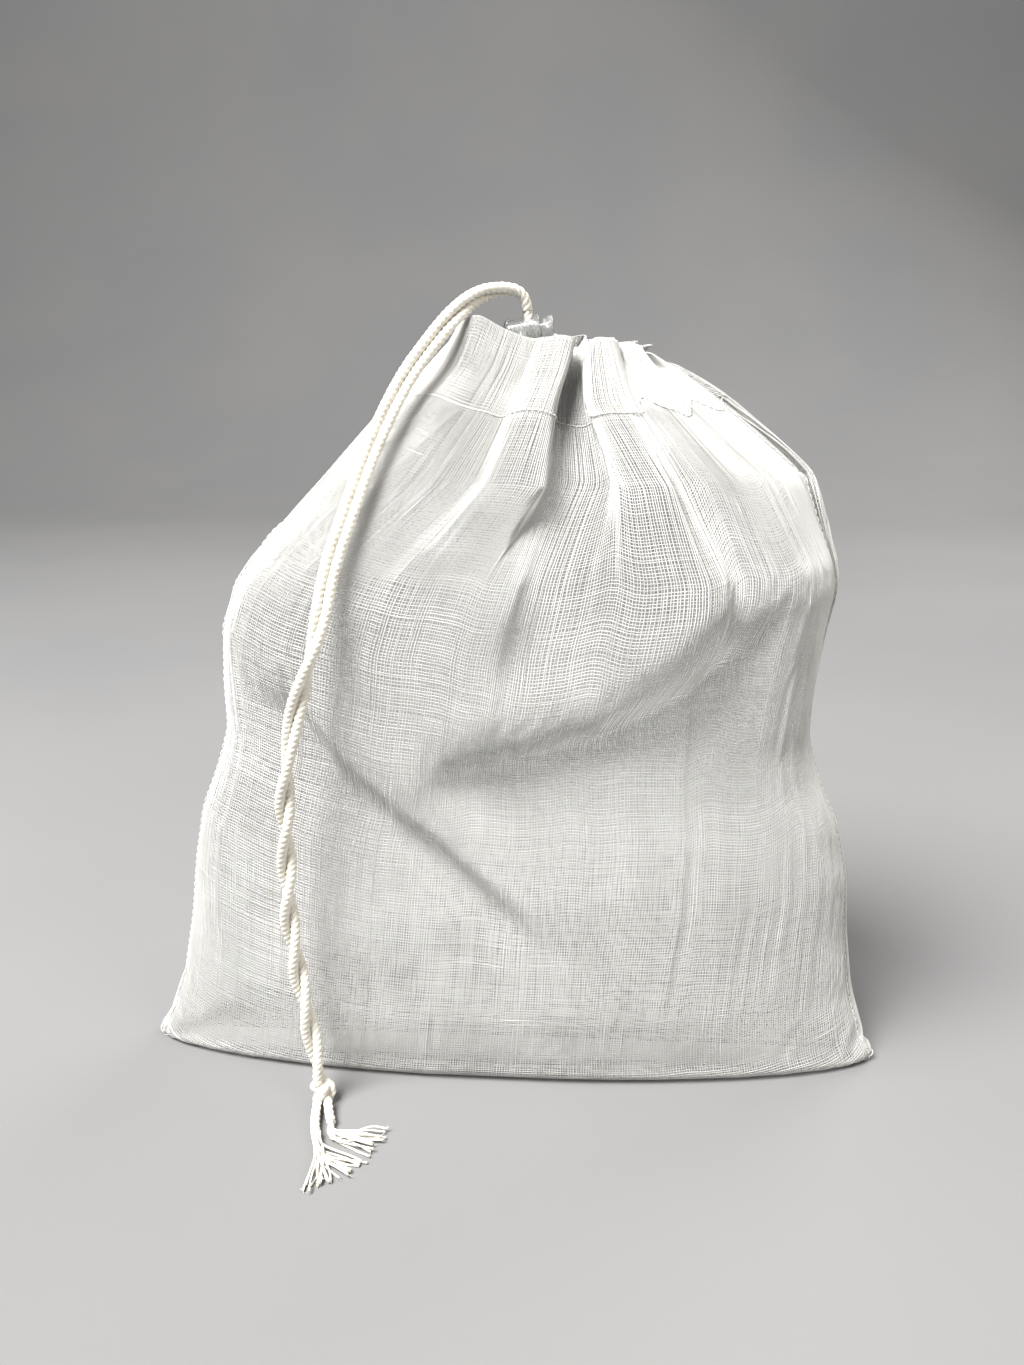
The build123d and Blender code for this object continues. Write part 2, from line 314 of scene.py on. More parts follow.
FRONT_FOLDS = {
    212: [
        (0, -36, 6), (20, -30, -8), (40, -17, -16.5), (56, -5, -18.5), (64, 0, -17.5), (72, 2.5, -20.5),
        (82, 8, -23.5), (92, 13, -21.5), (99, 13.5, -15), (107, 12, -9.5), (116, 15.5, -8.5),
        (126, 20.5, -9.5), (136, 23.5, -10.5), (143, 21.5, -15), (150, 22.5, -20.5), (159, 27.5, -23),
        (168, 33, -21.5), (175, 35.5, -16), (183, 38.5, -18.5), (194, 44, -17.5), (203, 46.5, -12),
        (212, 50, -12), (224, 55, -7), (238, 59, 0), (250, 60, 8),
    ],
    190: [
        (0, -56, 4), (20, -50, -14), (40, -34, -25.5), (56, -19, -29.5), (68, -8, -28.5), (76, -5, -32),
        (86, 3, -36.5), (95, 10.5, -35.5), (102, 11, -28.5), (110, 13.5, -25), (119, 20, -25),
        (132, 29, -26), (139, 30, -29), (146, 32.5, -34.5), (154, 38, -36.5), (163, 45, -34),
        (170, 47.5, -26.5), (179, 54.5, -25), (194, 65, -22), (208, 73, -17.5), (224, 81, -9),
        (238, 85.5, -1), (250, 87, 6),
    ],
    165: [
        (0, -81, 3), (25, -72, -21), (50, -52, -34.5), (72, -30, -38.5), (86, -16, -39), (97, -7, -43),
        (108, 2, -45), (117, 8, -41.5), (125, 15, -39), (136, 26, -39), (144, 33.5, -42.5),
        (154, 44, -45), (163, 53, -43.5), (171, 60, -38), (178, 64, -32.5), (188, 72, -30),
        (204, 84, -22), (227, 94, -9), (250, 98, 3),
    ],
}
# Creases across the front, as heights at places x. The cloth swells above each and falls back below it
CREASES = [
    ([(-26, 110), (-1, 116), (27, 124.5), (55, 140), (86, 163)], 9.5),
    ([(-88, 135), (-61.5, 129), (-48, 111), (-31, 96), (-19, 86), (-7, 74), (15, 56)], 5.0),
]
BACK_PLEATS = 9
MOUTH_TOP, FOLDS_END, FOLDS_FADED = 227, 165, 112
BACK_PLEATS_FULL, BACK_PLEATS_FADED = 226, 110
VALLEY_DEPTH = 8.0  # how far the cloth between two folds may sink into the filling
OFF_FILLING = 1.0  # between the filling and the cloth's start shape
MOUTH_MIDDLE = np.array([13.0, 3.5])
MOUTH_HALF = np.array([29.5, 9.5])

# What fills the bag: height, middle (x, y), half-width, depth in front, depth behind
FILLING = [
    (0.0, 0.0, -10.0, 121.0, 20.0, 20.0),
    (8.0, 0.0, -9.0, 116.5, 24.0, 27.0),
    (25.0, 0.5, -6.0, 110.5, 30.0, 38.0),
    (45.0, 1.0, -3.0, 107.5, 34.0, 44.0),
    (64.0, 1.5, -1.0, 106.0, 37.0, 48.0),
    (82.0, 1.0, 0.0, 102.0, 39.0, 50.0),
    (97.0, 0.8, 0.0, 95.5, 40.0, 50.0),
    (110.0, 1.0, 0.0, 91.5, 41.5, 49.0),
    (125.0, 1.0, 0.0, 92.0, 43.0, 49.0),
    (143.0, 2.0, 0.0, 92.5, 43.5, 49.0),
    (157.0, 5.5, 0.0, 91.0, 43.0, 47.0),
    (172.0, 10.0, 0.5, 84.0, 39.0, 42.0),
    (185.0, 14.0, 1.5, 71.0, 33.0, 35.0),
    (197.0, 14.5, 3.0, 57.0, 26.0, 28.0),
    (207.0, 14.0, 4.0, 42.0, 19.0, 21.0),
    (216.0, 12.0, 4.5, 28.0, 12.0, 14.0),
    (224.0, 12.0, 4.5, 22.0, 6.0, 8.0),
]
FILLING_TOP = 224.0
BOTTOM_SEAM_Y = -10.0
BOTTOM_TAKE_UP = 0.965  # draws the ends of the bottom seam in, so that the corners end round


def filling_table():
    """The filling's outline every half millimetre of height, with its corners rounded off."""
    rows = np.array(FILLING)
    heights = np.arange(0, FILLING_TOP + 0.25, 0.5)
    reach = 9
    window = np.hanning(2 * reach + 1)
    window /= window.sum()
    table = []
    for k in range(1, rows.shape[1]):
        values = np.pad(np.interp(heights, rows[:, 0], rows[:, k]), reach, "reflect", reflect_type="odd")
        table.append(np.convolve(values, window, "valid"))
    return np.array(table)


FILLING_TABLE = filling_table()


def filling_at(height):
    place = np.clip(height, 0, FILLING_TOP) * 2
    index = np.minimum(place.astype(int), FILLING_TABLE.shape[1] - 2)
    t = place - index
    return FILLING_TABLE[:, index] * (1 - t) + FILLING_TABLE[:, index + 1] * t


def hem_rows():
    """The front's chosen pleats, then even pleats along the back."""
    rows = list(FRONT_HEM)
    first, last = FLAT_WIDTH + 8.0, 2 * FLAT_WIDTH - 12.0
    for k in range(2 * BACK_PLEATS):
        cloth = first + (last - first) * k / (2 * BACK_PLEATS - 1)
        share = (cloth - FLAT_WIDTH) / FLAT_WIDTH
        turn = math.pi * share
        out = 1.0 if k % 2 else 0.3
        rows.append((
            cloth,
            MOUTH_MIDDLE[0] + MOUTH_HALF[0] * math.cos(turn) * (0.6 + 0.4 * out),
            6.0 + 13.0 * math.sin(turn) ** 0.7 * out,
            225.0 + 2.0 * math.sin(turn) + 5.0 * share + (1.2 if k % 2 else 0.0),
        ))
    return np.array(rows)


def hem_curve(cloth):
    rows = hem_rows()
    count = len(rows)
    here = (np.searchsorted(rows[:, 0], cloth, side="right") - 1) % count
    start, end = rows[here, 0], rows[(here + 1) % count, 0]
    end = np.where(end > start, end, end + 2 * FLAT_WIDTH)
    along = np.where(cloth < start, cloth + 2 * FLAT_WIDTH, cloth)
    t = ((along - start) / (end - start))[:, None]
    place = [rows[(here + k) % count, 1:] for k in (-1, 0, 1, 2)]
    return catmull_rom(*place, t)


def crease(x, height):
    """How far the front of the filling falls back at a place."""
    total = 0.0
    for line, depth in CREASES:
        xs, zs = np.array(line, float).T
        below = np.interp(x, xs, zs) - height
        ends = smooth_step(x, xs[0] - 6, xs[0] + 26) * (1 - smooth_step(x, xs[-1] - 26, xs[-1] + 6))
        swell = 0.3 * np.exp(-(((below + 12) / 10) ** 2))
        fall = smooth_step(below, -4, 9) * np.exp(-np.maximum(below - 9, 0) / 22)
        total = total + depth * ends * (fall - swell)
    return total


def outline(height, cloth):
    """Points round the filling at one height, for distances of cloth from the left seam."""
    x, y, half, front, back = filling_at(np.array([height]))[:, 0]
    turn = np.linspace(0, 2 * math.pi, 1441)
    across = x - (half + OFF_FILLING) * np.cos(turn)
    depth = np.where(np.sin(turn) > 0, front - crease(across, height), back) + OFF_FILLING
    ring = np.stack([across, y - depth * np.sin(turn)])
    length = np.concatenate([[0], np.cumsum(np.hypot(*np.diff(ring)))])
    middle = length[len(turn) // 2]
    share = cloth / FLAT_WIDTH
    place = np.where(share <= 1, share * middle, middle + (share - 1) * (length[-1] - middle))
    return np.stack([np.interp(place, length, ring[0]), np.interp(place, length, ring[1])], 1)


def fold_ring(rows, cloth):
    """The front's folds at one level, smoothly through their rows."""
    rows = np.array(rows, float)
    rows = np.concatenate([2 * rows[:1] - rows[1:2], rows, 2 * rows[-1:] - rows[-2:-1]])
    here = np.clip(np.searchsorted(rows[:, 0], cloth, side="right") - 1, 1, len(rows) - 3)
    t = ((cloth - rows[here, 0]) / (rows[here + 1, 0] - rows[here, 0]))[:, None]
    return catmull_rom(*[rows[here + k, 1:] for k in (-1, 0, 1, 2)], t)


def start_shape():
    """Each column runs from the hem over the filling to the bottom seam, with its points evenly spaced."""
    cloth = np.arange(AROUND) * AROUND_STEP
    is_front = cloth <= FLAT_WIDTH
    hem = hem_curve(cloth)
    turn = math.pi * cloth / FLAT_WIDTH
    plain_mouth = MOUTH_MIDDLE - MOUTH_HALF * np.stack([np.cos(turn), np.sin(turn)], 1)
    pleats = (hem[:, :2] - plain_mouth) * ~is_front[:, None]
    fold_rows = np.array(FRONT_FOLDS[FOLDS_END], float)
    dense = np.linspace(0, FLAT_WIDTH, 501)
    fold_places = np.interp(fold_rows[:, 1], outline(FOLDS_END, dense)[:, 0], dense)
    crowding = np.where(is_front, np.interp(cloth, fold_rows[:, 0], fold_places) - cloth, 0)
    levels = [221, 212, 201, 190, 177, 165] + list(range(162, 8, -3)) + [6, 3, 1.2]
    known = {MOUTH_TOP: hem[is_front, :2]}
    known.update({height: fold_ring(rows, cloth[is_front]) for height, rows in FRONT_FOLDS.items()})
    heights = sorted(known)
    leftover = known[FOLDS_END] - outline(FOLDS_END, (cloth + crowding)[is_front])
    rings = [hem]
    for height in levels:
        ring = outline(height, cloth + crowding * smooth_step(height, 10, FOLDS_END))
        pleated = (height - BACK_PLEATS_FADED) / (BACK_PLEATS_FULL - BACK_PLEATS_FADED)
        ring = ring + pleats * np.clip(pleated, 0, 1) ** 1.6
        if height >= FOLDS_END:
            above = next(h for h in heights if h >= height)
            below = [h for h in heights if h <= height][-1]
            t = (height - below) / max(above - below, 1)
            ring[is_front] = known[below] * (1 - t) + known[above] * t
        else:
            ring[is_front] += leftover * smooth_step(height, FOLDS_FADED, FOLDS_END)
        rings.append(np.column_stack([ring, np.full(AROUND, height)]))
    across = BOTTOM_TAKE_UP * np.where(is_front, cloth - FLAT_WIDTH / 2, 1.5 * FLAT_WIDTH - cloth)
    rings.append(np.column_stack([across, np.full(AROUND, BOTTOM_SEAM_Y), np.full(AROUND, 1.0)]))
    path = np.stack(rings)
    length = np.concatenate([
        np.zeros((1, AROUND)), np.cumsum(np.linalg.norm(np.diff(path, axis=0), axis=-1), 0)
    ])
    shape = np.zeros((3, DOWN + 1, AROUND))
    for column in range(AROUND):
        places = np.linspace(0, length[-1, column], DOWN + 1)
        for k in range(3):
            shape[k, :, column] = np.interp(places, length[:, column], path[:, column, k])
    return shape, length[-1] / DOWN


LOOSE_ABOVE, LOOSENING = 216, 30  # the filling holds the cloth out less and less up to this height
SLACK_ROUND = 1.006  # the cloth has this much more width than the start shape
SOFT_ABOVE, FIRM_BELOW = 10, 90  # distances down from the hem between which the cloth stops gathering freely


class Cloth:
    """A grid of points, rows down from the hem and columns round the bag, held by distance rules."""

    def __init__(self, points, steps_down):
        self.points = points
        self.start = points.copy()
        self.step_down = steps_down[None]
        self.step_around = np.linalg.norm(np.roll(points, -1, 2) - points, axis=0) * SLACK_ROUND
        lower = np.roll(points, -1, 1)
        self.slant_right = np.linalg.norm(np.roll(lower, -1, 2) - points, axis=0)
        self.slant_left = np.linalg.norm(lower - np.roll(points, -1, 2), axis=0)
        self.speed = np.zeros_like(points)
        self.rows, self.columns = points.shape[1:]
        self.free = np.ones((self.rows, self.columns))
        self.free[0] = self.free[-1] = 0
        down = np.arange(self.rows) * DOWN_STEP
        firm = 0.04 + 0.96 * smooth_step(down, SOFT_ABOVE, FIRM_BELOW)
        self.firm = firm[:, None] * np.ones((1, self.columns))

    def hold(self, a, b, rest, pull, push):
        """Moves each pair of points towards its rest distance."""
        first, second = self.points[(slice(None), *a)], self.points[(slice(None), *b)]
        gap = second - first
        length = np.sqrt((gap * gap).sum(0)) + 1e-9
        free_a, free_b = self.free[a], self.free[b]
        excess = length - rest
        gap *= excess * np.where(excess > 0, pull, push) / (length * np.maximum(free_a + free_b, 1e-9))
        first += gap * free_a
        second -= gap * free_b

    def roll(self, k):
        self.points = np.roll(self.points, k, 2)
        self.free = np.roll(self.free, k, 1)
        self.firm = np.roll(self.firm, k, 1)
        self.step_down = np.roll(self.step_down, k, 1)
        self.step_around = np.roll(self.step_around, k, 1)
        self.slant_right = np.roll(self.slant_right, k, 1)
        self.slant_left = np.roll(self.slant_left, k, 1)

    def hold_weft(self):
        for odd in (0, 1):
            self.roll(-odd)
            a, b = (slice(None), slice(0, None, 2)), (slice(None), slice(1, None, 2))
            self.hold(a, b, self.step_around[a], 1.0, self.firm[a])
            self.roll(odd)

    def hold_warp(self):
        for odd in (0, 1):
            end = odd + (self.rows - odd) // 2 * 2
            a, b = (slice(odd, end, 2), slice(None)), (slice(odd + 1, end, 2), slice(None))
            self.hold(a, b, self.step_down, 1.0, 0.7)

    def hold_shear(self, pull=0.15):
        even, odd_columns = slice(0, None, 2), slice(1, None, 2)
        for odd in (0, 1):
            end = odd + (self.rows - odd) // 2 * 2
            upper, lower = slice(odd, end, 2), slice(odd + 1, end, 2)
            for turn in (0, 1):
                self.roll(-turn)
                push = 0.6 * pull * self.firm[upper, even]
                self.hold((upper, even), (lower, odd_columns), self.slant_right[upper, even], pull, push)
                self.hold((upper, odd_columns), (lower, even), self.slant_left[upper, even], pull, push)
                self.roll(turn)

    def hold_bend(self, push=0.1):
        for turn in range(4):
            self.roll(-turn)
            a, b = (slice(None), slice(0, None, 4)), (slice(None), slice(2, None, 4))
            self.hold(a, b, 2 * self.step_around[a], 0.0, push * np.maximum(self.firm[a], 0.3))
            self.roll(turn)
        for turn in range(4):
            end = turn + (self.rows - turn) // 4 * 4
            a, b = (slice(turn, end, 4), slice(None)), (slice(turn + 2, end, 4), slice(None))
            self.hold(a, b, 2 * self.step_down, 0.0, push)

    def keep_outside(self):
        """Pushes the points off the filling and the floor."""
        x, y, z = self.points
        middle_x, middle_y, half, front, back = filling_at(z)
        valleys = VALLEY_DEPTH * smooth_step(z, FOLDS_FADED, FOLDS_END)
        depth = np.where(y < middle_y, front - crease(x, z) - valleys, back)
        ratio = np.sqrt(((x - middle_x) / half) ** 2 + ((y - middle_y) / depth) ** 2) + 1e-9
        push = np.where((ratio < 1) & (z > 2), 1 / ratio, 1.0)
        push = 1 + (push - 1) * np.clip((LOOSE_ABOVE - z) / LOOSENING, 0, 1)
        self.points[0] = middle_x + (x - middle_x) * push
        self.points[1] = middle_y + (y - middle_y) * push
        np.maximum(self.points[2], 0.5, out=self.points[2])

    def sew_bottom(self):
        front = np.arange(1, self.columns // 2)
        back = self.columns - front
        seam = 0.5 * (self.points[:, -1, front] + self.points[:, -1, back])
        self.points[:, -1, front] = seam
        self.points[:, -1, back] = seam

    def step(self, time=1 / 60, gravity=60.0, rounds=6, damping=0.9, cling=0.03):
        self.speed[2] -= gravity * time * self.free
        before = self.points.copy()
        self.points += self.speed * time * self.free + (self.start - self.points) * cling
        for _ in range(rounds):
            self.hold_weft()
            self.hold_warp()
            self.hold_shear()
            self.hold_bend()
        self.keep_outside()
        self.sew_bottom()
        self.speed = (self.points - before) / time * damping * self.free


SETTLING_STEPS = 60
cloth = Cloth(*start_shape())
for _ in range(SETTLING_STEPS):
    cloth.step()


# ---------------------------------------------------------------- the woven surface
FINE = 4  # fine rows and columns for each coarse one


def finer(grid):
    """The grid with FINE times the rows and columns, by cubic interpolation. It is closed round the bag."""
    t = (np.arange(FINE) / FINE)[:, None]
    round_bag = [np.roll(grid, -k, 2)[:, :, :, None] for k in (-1, 0, 1, 2)]
    grid = catmull_rom(*round_bag, t[None, None, None, :, 0]).reshape(3, grid.shape[1], -1)
    padded = np.concatenate([2 * grid[:, :1] - grid[:, 1:2], grid, 2 * grid[:, -1:] - grid[:, -2:-1]], 1)
    rows = grid.shape[1] - 1
    down = [padded[:, k:k + rows, None] for k in range(4)]
    body = catmull_rom(*down, t[None, None]).reshape(3, rows * FINE, -1)
    return np.concatenate([body, grid[:, -1:]], 1)


surface = finer(cloth.points)
round_direction = np.roll(surface, -1, 2) - np.roll(surface, 1, 2)
down_direction = np.gradient(surface, axis=1)
normals = np.cross(down_direction, round_direction, axis=0)
normals /= np.linalg.norm(normals, axis=0) + 1e-12


def lookup(grid, around, down):
    """Values of a fine grid at distances of cloth round the bag and down from the hem."""
    column = (around / AROUND_STEP * FINE) % grid.shape[2]
    row = np.clip(down / DOWN_STEP * FINE, 0, grid.shape[1] - 1.001)
    c0, r0 = column.astype(int), row.astype(int)
    tc, tr = column - c0, row - r0
    c0 %= grid.shape[2]
    c1 = (c0 + 1) % grid.shape[2]
    upper = grid[:, r0, c0] * (1 - tc) + grid[:, r0, c1] * tc
    lower = grid[:, r0 + 1, c0] * (1 - tc) + grid[:, r0 + 1, c1] * tc
    return np.moveaxis(upper * (1 - tr) + lower * tr, 0, -1)


def wander(count, samples, period, amount):
    """Smooth random curves, one a row, with a period given in samples."""
    knots = rng.normal(0, amount, (count, int(samples / period) + 3))
    place = np.arange(samples) / period
    index = place.astype(int)
    t = place - index
    t = t * t * (3 - 2 * t)
    return knots[:, index] * (1 - t) + knots[:, index + 1] * t


def drift_field(scale, amount):
    """A smooth random shift of the threads, as a function of the place on the cloth."""
    waves = [(rng.normal(0, 1 / scale, 2), rng.uniform(0, 2 * math.pi)) for _ in range(14)]

    def shift(around, down):
        total = sum(np.sin(a * around + b * down + phase) for (a, b), phase in waves)
        return amount * total / math.sqrt(len(waves) / 2)

    return shift


WARP_PITCH, WEFT_PITCH = 0.83, 0.95  # a little opener than the real weave, so that its holes show
THREAD_RADIUS = 0.15
# The inner layers are laid closer than the panels. The band at the mouth is denser in the photo, and at the
# panels' spacing the lining's threads have too little surface for the flat sheet it is declared as
LINING_DENSITY = 1.25
SAMPLE = 2.4  # between the rings of a thread
SLUB_SPACING = 450  # samples of thread for each thick spot
CROSSING = 0.06  # warps lie this far outside the cloth's middle surface, and wefts this far inside
UNEVENNESS = 0.07  # of the gaps between threads
LINING_INSET = 0.9  # inside the outer layer
warp_drift = drift_field(14.0, 0.28)
weft_drift = drift_field(14.0, 0.28)


def lay_threads(around, down, across_count, samples, runs_down, inset=0.0):
    """One set of parallel threads: their lines, the cloth's normal along them, and their radii."""
    across, along = (around, down) if runs_down else (down, around)
    places = across[0] + (np.arange(across_count) + 0.5) * (across[1] - across[0]) / across_count
    shape = (across_count, samples)
    across_grid = places[:, None] + wander(*shape, 5, UNEVENNESS)
    across_grid = across_grid + rng.normal(0, UNEVENNESS, (across_count, 1))
    along_grid = np.broadcast_to(np.linspace(*along, samples), shape)
    if runs_down:
        u, v = across_grid + warp_drift(across_grid, along_grid), along_grid
    else:
        u, v = along_grid, across_grid + weft_drift(along_grid, across_grid)
    v = np.clip(v, 0.0, FLAT_HEIGHT)
    normal = lookup(normals, u, v)
    depth = (CROSSING if runs_down else -CROSSING) - inset * (1 - np.exp(-v / 2.0))
    line = lookup(surface, u, v) + normal * depth[..., None]
    line[..., 2] = np.maximum(line[..., 2], 0.3)
    thickness = 1 + rng.normal(0, 0.12, (across_count, 1)) + wander(*shape, 3, 0.1)
    spots = int(across_count * samples / SLUB_SPACING)
    for row, middle in zip(rng.integers(0, across_count, spots), rng.uniform(0, samples, spots)):
        reach = rng.uniform(0.8, 2.6)
        thickness[row] += rng.uniform(0.5, 1.1) * np.exp(-(((np.arange(samples) - middle) / reach) ** 2))
    return line, normal, np.clip(THREAD_RADIUS * thickness, 0.1, 0.36)


def cut(threads, rows, samples):
    return [array[rows, samples] for array in threads]


def woven(name, around, down, inset):
    """A separate patch of gauze between two distances round the bag and two down from the hem."""
    parts = []
    for runs_down in (True, False):
        across, along = (around, down) if runs_down else (down, around)
        pitch = (WARP_PITCH if runs_down else WEFT_PITCH) / LINING_DENSITY
        count = max(2, int(round((across[1] - across[0]) / pitch)))
        samples = max(3, int(round((along[1] - along[0]) / SAMPLE)) + 1)
        threads = lay_threads(around, down, count, samples, runs_down, inset)
        parts.append(tube_arrays(*threads, 3))
    return mesh_object(name, *joined(parts), material=gauze_material)


BANDS = 4
WARP_COUNT, WEFT_COUNT = int(FLAT_WIDTH / WARP_PITCH), int(FLAT_HEIGHT / WEFT_PITCH / BANDS)
DOWN_SAMPLES, SIDE_SAMPLES = int(FLAT_HEIGHT / BANDS / SAMPLE), int(FLAT_WIDTH / SAMPLE)
whole = ((0, 2 * FLAT_WIDTH), (0, FLAT_HEIGHT))
warps = lay_threads(*whole, 2 * WARP_COUNT, BANDS * DOWN_SAMPLES + 1, True)
wefts = lay_threads(*whole, BANDS * WEFT_COUNT, 2 * SIDE_SAMPLES + 1, False)
for side, name in enumerate(("front", "back")):
    for band in range(BANDS):
        side_warps = slice(side * WARP_COUNT, (side + 1) * WARP_COUNT)
        band_wefts = slice(band * WEFT_COUNT, (band + 1) * WEFT_COUNT)
        down_part = slice(band * DOWN_SAMPLES, (band + 1) * DOWN_SAMPLES + 1)
        side_part = slice(side * SIDE_SAMPLES, (side + 1) * SIDE_SAMPLES + 1)
        parts = [
            tube_arrays(*cut(warps, side_warps, down_part), 3),
            tube_arrays(*cut(wefts, band_wefts, side_part), 3),
        ]
        piece = mesh_object(f"{name}_gauze_{band + 1}", *joined(parts), material=gauze_material)
        if band == 0:
            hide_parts(f"{name}_panel")
    edges = (side * FLAT_WIDTH, (side + 1) * FLAT_WIDTH)
    lining = woven(f"{name}_casing_lining", edges, (0.0, CASING_DEPTH), LINING_INSET)
    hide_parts(f"{name}_casing")


SEAM_WIDTH = 9.5


def seam(name, around, down, node):
    """A folded allowance: two more layers of gauze against the inside."""
    layers = [woven(f"{name}_{k + 1}", around, down, 0.5 + 0.5 * k) for k in range(2)]
    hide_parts(node)


below_casing = (CASING_DEPTH, FLAT_HEIGHT)
along_bottom = (FLAT_HEIGHT - SEAM_WIDTH - 1.0, FLAT_HEIGHT)
seam("left_seam_fold", (-1.0, SEAM_WIDTH), below_casing, "left_side_seam")
seam("right_seam_fold", (FLAT_WIDTH - SEAM_WIDTH, FLAT_WIDTH + 1.0), below_casing, "right_side_seam")
seam("bottom_seam_fold", (0.0, FLAT_WIDTH), along_bottom, "bottom_seam")


SEWING_RADIUS = 0.17
STITCH = 2.6


def stitching(name, around, down, node):
    """A row of stitches: short tubes that dive into the cloth at both ends."""
    start, end = np.array([around[0], down[0]]), np.array([around[1], down[1]])
    length = float(np.linalg.norm(end - start))
    count = int(length / STITCH)
    t = np.linspace(0, 1, 7)
    places = (np.arange(count)[:, None] + 0.12 + 0.76 * t[None]) / count
    u = start[0] + (end[0] - start[0]) * places
    v = start[1] + (end[1] - start[1]) * places
    normal = lookup(normals, u, v)
    lift = 0.2 + 0.3 * np.sin(math.pi * t)[None] ** 0.6
    line = lookup(surface, u, v) + normal * lift[..., None]
    line[..., 2] = np.maximum(line[..., 2], 0.4)
    piece = mesh_object(name, *tube_arrays(line, normal, SEWING_RADIUS, 5), material=sewing_material)
    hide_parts(node)


CASING_ROW = (CASING_DEPTH - 1.5,) * 2
SIDE_ROW = (CASING_DEPTH, FLAT_HEIGHT - 2)
BOTTOM_ROW = (FLAT_HEIGHT - 5,) * 2
stitching("front_casing_stitches", (1, FLAT_WIDTH - 1), CASING_ROW, "front_casing_stitching")
stitching("back_casing_stitches", (FLAT_WIDTH + 1, 2 * FLAT_WIDTH - 1), CASING_ROW, "back_casing_stitching")
stitching("left_seam_stitches", (5, 5), SIDE_ROW, "left_seam_stitching")
stitching("right_seam_stitches", (FLAT_WIDTH - 5,) * 2, SIDE_ROW, "right_seam_stitching")
stitching("bottom_seam_stitches", (2, FLAT_WIDTH - 2), BOTTOM_ROW, "bottom_seam_stitching")


# ---------------------------------------------------------------- cord
def frames(line):
    """Unit directions along the line, and two across it that don't twist."""
    along = np.gradient(line, axis=0)
    along /= np.linalg.norm(along, axis=1, keepdims=True)
    first = np.zeros_like(line)
    seed = np.array([0.0, 1.0, 0.0])
    for k, direction in enumerate(along):
        seed = seed - direction * seed.dot(direction)
        seed /= np.linalg.norm(seed)
        first[k] = seed
    return along, first, np.cross(along, first)


def twisted_cord(line, radius, lay=5.4, plies=3, sides=24, turn=0.0, groove=0.3):
    """A laid cord: a tube whose outline has a bulge for each ply, turning as it goes."""
    line = resampled(line, 0.5)
    _, first, second = frames(line)
    length = np.arange(len(line)) * np.linalg.norm(line[1] - line[0])
    angle = 2 * math.pi * np.arange(sides) / sides
    phase = plies * (angle[None] - 2 * math.pi * length[:, None] / lay - turn) / 2
    outline = radius * (1 - groove + groove * np.abs(np.cos(phase)) ** 0.7)
    rough = 1 + 0.02 * rng.normal(0, 1, outline.shape)
    ring = first[:, None] * np.cos(angle)[None, :, None] + second[:, None] * np.sin(angle)[None, :, None]
    points = line[:, None] + ring * (outline * rough)[..., None]
    ends = np.stack([line[0], line[-1]])
    count = len(line)
    index = np.arange(count * sides).reshape(count, sides)
    near, far = index[:-1], index[1:]
    quads = np.stack([near, np.roll(near, -1, 1), np.roll(far, -1, 1), far], -1).reshape(-1, 4)
    caps = []
    for ring_index, centre, flip in ((index[0], count * sides, True), (index[-1], count * sides + 1, False)):
        fan = [ring_index, np.roll(ring_index, -1), np.full(sides, centre)]
        caps.append(np.stack(fan[::-1] if flip else fan, -1))
    return np.concatenate([points.reshape(-1, 3), ends]), quads, np.concatenate(caps)


# How the two strands lie round the centre line: share of the way along it, angle in degrees, gap in radii
STRAND_TURNS = [
    (0.0, 90.0, 0.98),
    (0.035, 84.0, 0.98),
    (0.08, 35.0, 0.98),
    (0.13, 4.0, 0.98),
    (0.45, 0.0, 0.98),
    (0.56, -180.0, 0.98),
    (0.62, -250.0, 0.98),
    (0.70, -450.0, 0.98),
    (0.80, -700.0, 0.98),
    (0.90, -960.0, 0.98),
    (1.0, -1200.0, 0.9),
]


def strand_lines():
    along = frames(cord_line)[0]
    share = np.linspace(0, 1, len(cord_line))
    turns = np.array(STRAND_TURNS)
    angle = np.radians(np.interp(share, turns[:, 0], turns[:, 1]))
    window = np.hanning(41)
    window /= window.sum()
    angle = np.convolve(np.pad(angle, 20, "edge"), window, "valid")
    gap = np.interp(share, turns[:, 0], turns[:, 2]) * CORD_DIAMETER / 2
    sideways = np.cross(along, np.array([0.0, -1.0, 0.0]))
    sideways /= np.linalg.norm(sideways, axis=1, keepdims=True)
    outward = np.cross(sideways, along)
    offset = sideways * np.cos(angle)[:, None] + outward * np.sin(angle)[:, None]
    return cord_line + offset * gap[:, None], cord_line - offset * gap[:, None]


strand_paths = strand_lines()
for name, path, shift in (("cord_strand_a", strand_paths[0], 0.0), ("cord_strand_b", strand_paths[1], 0.8)):
    arrays = twisted_cord(path, CORD_DIAMETER / 2 * 1.03, turn=shift)
    mesh_object(name, *arrays, material=cord_material)

# From the loop in the channel, up through the lock
LOOP_CENTRE, LOOP_HALF = np.array([21.0, 4.5, 215.0]), np.array([11.7, 7.2, 0.0])
IN_LOCK_RADIUS, LOOP_RADIUS = 1.35, 1.45
in_lock = []
for sign in (-1, 1):
    start = strand_paths[0 if sign < 0 else 1][0]
    down_lock = [start + LOCK_UP * d for d in (0.4, -3.0, -7.0, -11.0, -14.0)]
    in_lock.append(twisted_cord(spline_line(down_lock + [
        (9.5, 4.5 + sign * 3.5, 219.0),
        (11.5, 4.5 + sign * 5.5, 216.0),
    ]), IN_LOCK_RADIUS))
lock_cords = mesh_object("cords_in_lock", *joined(in_lock), material=cord_material)
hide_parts("drawcord_in_lock")
turn = np.linspace(math.radians(160), math.radians(-160), 60)
loop_line = LOOP_CENTRE + LOOP_HALF * np.stack([np.cos(turn), np.sin(turn), np.zeros_like(turn)], 1)
cord_loop = mesh_object("cord_in_channel", *twisted_cord(loop_line, LOOP_RADIUS), material=cord_material)
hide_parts("drawcord_loop")

